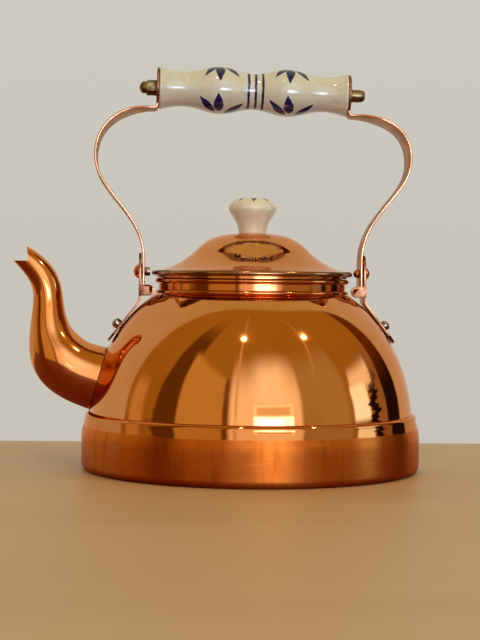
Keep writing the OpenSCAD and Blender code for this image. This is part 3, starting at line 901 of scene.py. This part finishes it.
def grip_radius(x):
    x = abs(x)
    if x < BULGE_X:
        return eased(GRIP_MID_R, GRIP_BULGE_R, x / BULGE_X)
    if x < WAIST_X:
        return eased(GRIP_BULGE_R, GRIP_WAIST_R, (x - BULGE_X) / (WAIST_X - BULGE_X))
    share = (x - WAIST_X) / (grip_half - WAIST_X)
    return GRIP_WAIST_R + (GRIP_END_R - GRIP_WAIST_R) * share**2


def grip():
    end_round = 1.1
    steps = 150
    run = grip_half - end_round
    along = [run * (2 * i / steps - 1) for i in range(steps + 1)]
    outline = [(grip_radius(x), x) for x in along]
    last_r = outline[-1][0]
    top = arc(last_r - end_round, run, end_round, 0, 90, 8)
    bottom = arc(last_r - end_round, -run, end_round, -90, 0, 8)
    bore_r = rod_r + 0.3
    bore = [(bore_r, grip_half), (bore_r, -grip_half)]
    mesh = turned((bottom + outline + top, 0), (bore, 0), sides=MIDDLE_SIDES)
    bmesh.ops.transform(mesh, matrix=z_to_x, verts=mesh.verts)
    finish_piece("handle_grip_glazed", mesh, "handle", [grip_glaze()],
                 ["handle_grip"], grip_place)


STRAP_X = 65.0
STRAP_T = 1.5
STRAP_EDGE_R = 0.5
STRAP_FOOT_LEN, STRAP_FOOT_CUT = 11.0, 1.5
STRAP_LOW, STRAP_MIDDLE, STRAP_WIDE = (STRAP_X - STRAP_T / 2, 122), (78.8, 156.4), (93.1, 184.5)
STRAP_TOP_Z = 211.8
STRAP_BEND_R = 2.2
STRAP_W, STRAP_TOP_W, STRAP_END_W = 18.8, 24.0, 14.0
# The heights between which the strap widens, and the x between which its top narrows to the end plate
STRAP_WIDENS = (126, 168)
STRAP_NARROWS, STRAP_NARROWS_ABOVE = (59, 77), 200
PLATE_R, PLATE_EDGE_R = 12.2, 0.45
# The plate is a little thinner than the strap, so that no two faces of them lie in one plane
PLATE_INSET = 0.02
PIN_HOLE_R, PIN_HOLE_REACH = pin_r + 0.06, (55, 75)
ROD_HOLE_R, ROD_HOLE_REACH = rod_r + 0.1, (50, 64)
plate_in = grip_half + 0.1
plate_mid = plate_in + STRAP_T / 2
strap_mid = STRAP_X - STRAP_T / 2


def tilted(point, side):
    """A point of the right-hand strap's top, turned with the grip."""
    angle = -grip_tilt * side
    x, z = point[0], point[1] - grip_z
    return x * math.cos(angle) - z * math.sin(angle), grip_z + x * math.sin(angle) + z * math.cos(angle)


def strap_path(side):
    """The middle of the strap's thickness from its foot to its end plate, in x and z."""
    foot_z = pivot_z - STRAP_FOOT_LEN
    inner_end = tilted((plate_mid + STRAP_BEND_R, STRAP_TOP_Z), side)
    path = [(strap_mid, z) for z in (foot_z, foot_z + STRAP_FOOT_CUT, pivot_z - 6, pivot_z)]
    path += curve(STRAP_LOW, (64.2, 136), (69.4, 144.8), STRAP_MIDDLE, steps=32)
    path += curve(STRAP_MIDDLE, (87.2, 166.9), (93.1, 173), STRAP_WIDE, steps=28)
    path += curve(STRAP_WIDE, (93.1, 202.6), tilted((78.6, STRAP_TOP_Z), side), inner_end, steps=48)
    for degrees in range(10, 91, 10):
        a = math.radians(degrees)
        x = plate_mid + STRAP_BEND_R * (1 - math.sin(a))
        z = STRAP_TOP_Z + STRAP_BEND_R * (1 - math.cos(a))
        path.append(tilted((x, z), side))
    return without_doubles(path + [tilted((plate_mid, grip_z - 5), side)])


def share_of(value, low, high):
    """How far a value is from low to high: 0 to 1, and no more."""
    return min(max((value - low) / (high - low), 0), 1)


def strap_half_width(x, z):
    """Half of the strap's width: straight at the pivot, wider above, narrow at the end plate."""
    if z > STRAP_NARROWS_ABOVE:
        return eased(STRAP_END_W / 2, STRAP_TOP_W / 2, share_of(x, *STRAP_NARROWS))
    foot_z = pivot_z - STRAP_FOOT_LEN
    if z < foot_z + STRAP_FOOT_CUT:
        return STRAP_W / 2 - STRAP_FOOT_CUT + (z - foot_z)
    return eased(STRAP_W / 2, STRAP_TOP_W / 2, share_of(z, *STRAP_WIDENS))


def strap(side, name):
    """A strap swept along its path with a rounded-edged section, its end plate, and its two holes."""
    path = strap_path(side)
    half_t = STRAP_T / 2
    edge = STRAP_EDGE_R
    corner_steps = 4
    corners = [(1, 1, 0), (-1, 1, 90), (-1, -1, 180), (1, -1, 270)]
    mesh = bmesh.new()
    rings = []
    for i, (x, z) in enumerate(path):
        ahead, behind = path[min(i + 1, len(path) - 1)], path[max(i - 1, 0)]
        out = Vector((behind[1] - ahead[1], 0, ahead[0] - behind[0])).normalized()
        half_w = strap_half_width(x, z)
        ring = []
        for across, through, start in corners:
            centre = (across * (half_w - edge), through * (half_t - edge))
            for p, q in arc(*centre, edge, start, start + 90, corner_steps):
                ring.append(mesh.verts.new(Vector((x, p, z)) + out * q))
        for share in (-0.66, -0.33, 0, 0.33, 0.66):
            ring.append(mesh.verts.new(Vector((x, share * (half_w - edge), z)) - out * half_t))
        rings.append(ring)
    # the last points of a ring lie on its inner face, and go between the third corner and the fourth
    third, fourth = 3 * (corner_steps + 1), 4 * (corner_steps + 1)
    rings = [ring[:third] + ring[fourth:] + ring[third:fourth] for ring in rings]
    # the strap's rounded edges take the paler edge copper, a painted highlight along them
    outer_face, inner_face = [corner_steps], range(third - 1, fourth)
    for ring, following in zip(rings, rings[1:]):
        for k, face in enumerate(skin(mesh, ring, following, 1)):
            if k in outer_face or k in inner_face:
                face.material_index = 0
    mesh.faces.new(rings[0])
    mesh.faces.new(rings[-1])
    flip = Matrix.Scale(side, 4, (1, 0, 0))
    bmesh.ops.transform(mesh, matrix=flip, verts=mesh.verts)
    piece = finish_piece(name + "_bent", mesh, "handle",
                         [strap_copper, highlit_edge_copper], [name], handle_place)
    plate_low, plate_high = plate_in + PLATE_INSET, plate_in + STRAP_T - PLATE_INSET
    plate = arc(PLATE_R - PLATE_EDGE_R, plate_high - PLATE_EDGE_R, PLATE_EDGE_R, 90, 0, 5)
    plate += arc(PLATE_R - PLATE_EDGE_R, plate_low + PLATE_EDGE_R, PLATE_EDGE_R, 0, -90, 5)
    disc = turned(([(0, plate_high)] + plate + [(0, plate_low)], 0), sides=MIDDLE_SIDES)
    to_grip = Matrix.Translation((0, 0, grip_z)) @ Matrix.Rotation(grip_tilt, 4, "Y") @ flip @ z_to_x
    bmesh.ops.transform(disc, matrix=to_grip, verts=disc.verts)
    cut(piece, disc, "UNION")
    holes = bmesh.new()
    add_rod(holes, Matrix.Translation((0, 0, pivot_z)) @ flip @ z_to_x, PIN_HOLE_R, *PIN_HOLE_REACH)
    add_rod(holes, to_grip, ROD_HOLE_R, *ROD_HOLE_REACH)
    cut(piece, holes)


# ---- the floor, the light and the camera ----

TABLE_PALE = (0.66, 0.44, 0.22)
TABLE_DARKER = (0.62, 0.405, 0.195)
# The top's colour for every ray but the camera's: painted shade, far darker than the top looks
TABLE_PAINTED_SHADE_IN_COPPER = (0.22, 0.036, 0.004)


def table_top():
    """A plain pale top that ends a little behind the kettle."""
    width, front, back, thickness, edge_r = 3600, 1700, 155, 36, 3
    mesh = bmesh.new()
    bmesh.ops.create_cube(mesh, size=1)
    bmesh.ops.scale(mesh, vec=(width, front + back, thickness), verts=mesh.verts)
    bmesh.ops.translate(mesh, vec=(0, (back - front) / 2, -thickness / 2), verts=mesh.verts)
    bmesh.ops.bevel(mesh, geom=mesh.edges[:], offset=edge_r, segments=4, affect="EDGES", profile=0.5)
    top = new_object("table_top", mesh)
    paint = Paint("pale_top")
    grain = paint.noise(60, 4, stretch=(6, 1, 1))
    colour = paint.mix(paint.step(grain, 0.3, 0.7), TABLE_PALE, TABLE_DARKER)
    # painted shade: every ray but the camera's sees a much darker top, so the copper mirrors it and it
    # throws back light as if in a dim room
    direct = Value(paint, paint.add("ShaderNodeLightPath").outputs["Is Camera Ray"])
    paint.set(base_color=paint.mix(direct, TABLE_PAINTED_SHADE_IN_COPPER, colour), roughness=0.5)
    top.data.materials.append(paint.material)
    set_smooth(top.data)


# Soft lights and dark corners of the studio, in degrees: azimuth from the front (right is plus) and
# elevation, how far it falls for each degree to the right, how far it leans right for each degree up,
# colour, softness sideways and upwards. A later one covers those before it.
STUDIO = (
    # the left: a pale strip, a dark upright, a warm wall with a sloping top, and a dark edge
    ((-97, -85), (-24, 22), 0, 0, (0.66, 0.48, 0.22), 2.5, 5),
    ((-76, -57), (-50, 66), 0, 0.12, (0.14, 0.065, 0.01), 1.6, 14),
    ((-56, -23), (-50, 41), 0.45, 0, (0.64, 0.48, 0.18), 1.6, 3),
    ((-22.5, -19), (-50, 33), 0, 0, (0.20, 0.10, 0.02), 0.8, 3),
    # the bright wall round the window, and the brighter haze above it
    ((-18, 34), (-24, 37), 0, 0, (1.25, 1.28, 1.30), 2, 17),
    ((1, 26), (14, 44), 0, 0, (1.45, 1.68, 1.90), 9, 12),
    # the right: a dull wall, a dim strip, and a far window with a brighter lower part
    ((34, 71), (-50, 44), 0, 0, (0.50, 0.42, 0.22), 3, 8),
    ((97, 114), (-12, 32), 0, 0, (0.36, 0.24, 0.14), 1.5, 6),
    ((70, 95), (16, 28), 0, 0.3, (1.20, 1.35, 1.50), 1.5, 4),
    ((75, 91), (2, 20), 0, 0, (1.35, 2.10, 2.90), 1.2, 2),
    # two thin bright lines that run up to the ceiling
    ((-14.5, -12.8), (4, 84), 0, 0, (0.85, 0.68, 0.42), 1.2, 10),
    ((31, 32.5), (38, 70), 0, 0.51, (0.80, 0.62, 0.33), 1.2, 12),
    # the window: an upper pane with a duller middle, the lower part, the bright part and its core
    ((-1, 27), (8, 16.5), 0, 0, (1.9, 1.9, 1.9), 0.6, 0.6),
    ((1, 25), (9.5, 15), 0, 0, (1.15, 1.05, 0.85), 0.6, 0.6),
    ((-1, 27), (-20, -5), 0, 0, (1.9, 2.1, 2.4), 2, 4),
    ((-1, 27), (-5, 8.5), 0, 0, (3.6, 4.6, 7.0), 0.8, 0.8),
    ((3, 20), (-3, 7), 0, 0, (9.0, 10.5, 13.0), 2.5, 1.5),
)
WALL = (0.62, 0.585, 0.515)
WALL_HIGH_UP = (0.56, 0.50, 0.27)
CEILING = (0.42, 0.265, 0.045)
GROUND = (0.10, 0.045, 0.014)
NEAR_BLACK = (0.02, 0.008, 0.003)
DOORWAY_TOP = (0.15, 0.05, 0.004)
PLANT_SIDES = (92, 100)
DOORWAY_SIDE = (108.5, 110.5)
# The plain background that the camera sees, low and high
SEEN_LOW = (0.575, 0.535, 0.475)
SEEN_HIGH = (0.635, 0.61, 0.54)


def studio():
    """Pale wall behind, a dimmer warm room in front with soft bright windows."""
    world = bpy.data.worlds.new("studio")
    bpy.context.scene.world = world
    world.use_nodes = True
    nodes = Nodes(world.node_tree)
    direction = Value(nodes, nodes.add("ShaderNodeTexCoord").outputs["Generated"])
    x, y, z = nodes.parts(direction)
    azimuth = nodes.math("ARCTAN2", x, 0 - y) * math.degrees(1)
    elevation = nodes.math("ARCSINE", z) * math.degrees(1)
    room = nodes.mix(nodes.step(elevation, -4, 4), GROUND, CEILING)
    for (left, right), (low, high), fall, lean, colour, soft_side, soft_top in STUDIO:
        level = elevation + (azimuth - (left + right) / 2) * fall
        sideways = azimuth - elevation * lean
        inside = nodes.between(sideways, left, right, soft_side) * nodes.between(level, low, high, soft_top)
        room = nodes.mix(inside, room, colour)
    # a ragged dark plant at the right
    ragged = nodes.math("SINE", elevation * 0.9) * 2.0 + nodes.math("SINE", elevation * 2.3) * 1.3
    stem = azimuth + ragged - nodes.math("MAXIMUM", elevation - 12, 0.0) * 0.8
    plant = nodes.between(stem, *PLANT_SIDES, 0.8) * (1 - nodes.step(elevation, 13, 25))
    room = nodes.mix(plant, room, NEAR_BLACK)
    # a dark doorway behind it, which narrows and reddens upwards
    doorway = nodes.step(azimuth - nodes.math("MAXIMUM", elevation - 15, 0.0) * 0.3, *DOORWAY_SIDE)
    gloom = nodes.mix(nodes.step(elevation, 10, 30), NEAR_BLACK, DOORWAY_TOP)
    room = nodes.mix(doorway * (1 - nodes.step(elevation, 62, 72)), room, gloom)
    # the wall's edge: about 12 degrees behind the left, and 38 behind the right except overhead
    lift = nodes.math("POWER", nodes.math("ABSOLUTE", z), 6.0)
    edge = nodes.math("MAXIMUM", 0 - x, 0.0) * 0.21 + nodes.math("MAXIMUM", x, 0.0) * 0.78 * (1 - lift)
    wall = nodes.mix(nodes.step(elevation, 35, 75), WALL, WALL_HIGH_UP)
    around = nodes.mix(nodes.step(y - edge, -0.02, 0.02), room, wall)
    seen = nodes.mix(nodes.step(elevation, -12, 22), SEEN_LOW, SEEN_HIGH)
    camera_ray = Value(nodes, nodes.add("ShaderNodeLightPath").outputs["Is Camera Ray"])
    background = nodes.add("ShaderNodeBackground", {"Color": nodes.mix(camera_ray, around, seen)})
    output = nodes.add("ShaderNodeOutputWorld")
    nodes.tree.links.new(background.outputs[0], output.inputs["Surface"])


# Azimuth and elevation of the two lamps, and their distance, width, power and colour
SPOTS = ((-13, 63), (61, 57))
SPOT_DISTANCE, SPOT_WIDTH, SPOT_WATTS, SPOT_COLOUR = 1.6, 0.045, 1.8, (1.0, 0.86, 0.66)


def ceiling_spots():
    """Two small lamps high in front, which put the pairs of sparks on the dome and the beads."""
    for azimuth, elevation in SPOTS:
        a, e = math.radians(azimuth), math.radians(elevation)
        direction = Vector((math.sin(a) * math.cos(e), -math.cos(a) * math.cos(e), math.sin(e)))
        light = bpy.data.lights.new("ceiling_spot", "AREA")
        light.shape = "DISK"
        light.size = SPOT_WIDTH
        light.energy = SPOT_WATTS
        light.color = SPOT_COLOUR
        lamp = bpy.data.objects.new("ceiling_spot", light)
        lamp.location = direction * SPOT_DISTANCE
        lamp.rotation_euler = (-direction).to_track_quat("-Z", "Y").to_euler()
        lamp.visible_camera = False
        bpy.context.scene.collection.objects.link(lamp)


def camera():
    """The camera stands a little to the left of the front, low, and looks slightly down."""
    distance, height, azimuth = 0.951, 0.112, math.radians(3.3)
    aim_left, pitch, roll = math.radians(0.41), math.radians(1.43), math.radians(0.65)
    data = bpy.data.cameras.new("camera")
    data.lens = 90
    data.clip_start = 0.05
    eye = bpy.data.objects.new("camera", data)
    eye.location = (-distance * math.sin(azimuth), -distance * math.cos(azimuth), height)
    heading = azimuth - aim_left
    level = math.cos(pitch)
    forward = Vector((math.sin(heading) * level, math.cos(heading) * level, -math.sin(pitch)))
    rolled = Matrix.Rotation(roll, 3, "Z").to_quaternion()
    eye.rotation_mode = "QUATERNION"
    eye.rotation_quaternion = forward.to_track_quat("-Z", "Y") @ rolled
    bpy.context.scene.collection.objects.link(eye)
    bpy.context.scene.camera = eye
    bpy.context.scene.view_settings.view_transform = "Standard"


base_band()
dome()
neck_collar()
spout()
spout_braze()
lid()
knob()
grip()
strap(-1, "strap_left")
strap(1, "strap_right")
refined("bottom_plate", "pot", [tin], 0.2)
for side, hand in ((-1, "left"), (1, "right")):
    ear(side, hand)
    refined("ear_screw_" + hand, "pot", [steel], 0.25)
    refined("ear_washer_" + hand, "pot", [tin], 0.12)
    refined("ear_nut_" + hand, "pot", [steel], 0.2)
    refined("pivot_pin_" + hand, "pot", [neck_copper], 0.15)
    refined("pivot_washer_" + hand, "pot", [strap_copper], 0.08)
    refined("cap_nut_" + hand, "handle", [brass], 0.35)
refined("pivot_nut_left", "pot", [steel], 0.3)
refined("pivot_nut_right", "pot", [neck_copper], 0.12)
refined("grip_rod", "handle", [steel], 0.2)
for small in ("knob_insert", "knob_screw", "knob_washer"):
    refined(small, "lid", [brass], 0.15)

table_top()
studio()
ceiling_spots()
camera()
